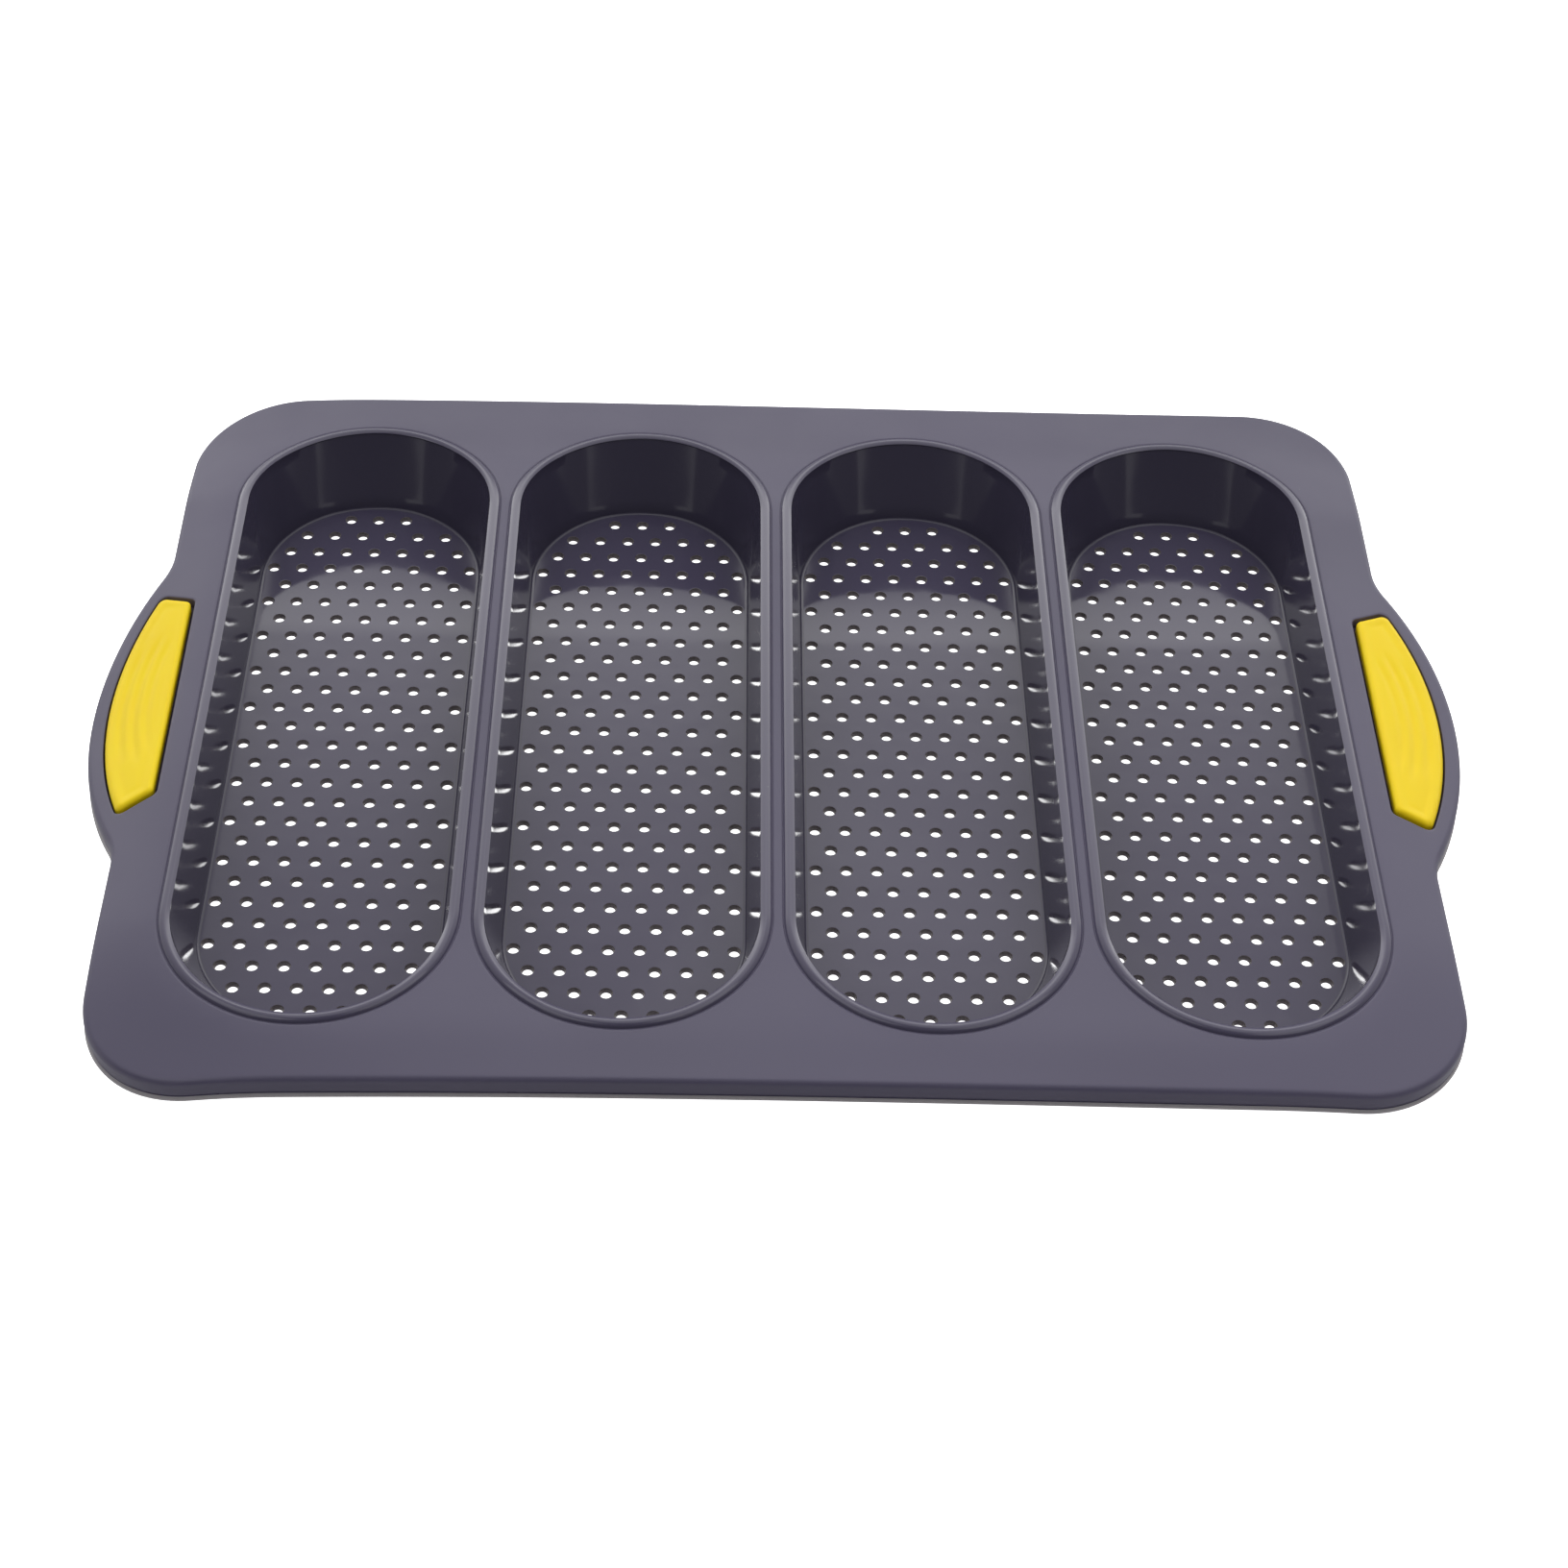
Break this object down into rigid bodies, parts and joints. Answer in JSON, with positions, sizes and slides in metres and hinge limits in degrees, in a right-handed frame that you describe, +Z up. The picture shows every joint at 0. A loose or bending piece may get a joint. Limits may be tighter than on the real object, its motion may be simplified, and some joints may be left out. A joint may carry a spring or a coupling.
{
  "type": "baguette tray",
  "caption": "Shallow silicone baking tray with long round-ended wells, perforated well floors, a wire-stiffened rim and gripped handle tabs.",
  "frame": {"origin": "under the middle of the tray, at the height of the undersides of the wells, which the tray stands on", "axes": "+X along the tray's length from handle to handle, +Y along the wells, +Z up out of the wells' mouths"},
  "size_m": [0.3912, 0.2804, 0.0237],
  "materials": {
    "silicone_grey": "satin on the rim, glossy inside the wells",
    "grip_yellow": "satin",
    "wire_steel": "drawn wire"
  },
  "bodies": {
    "root": {"tray_body": "silicone_grey", "rim_wire": "wire_steel", "left_grip": "grip_yellow", "right_grip": "grip_yellow"}
  },
  "joints": []
}
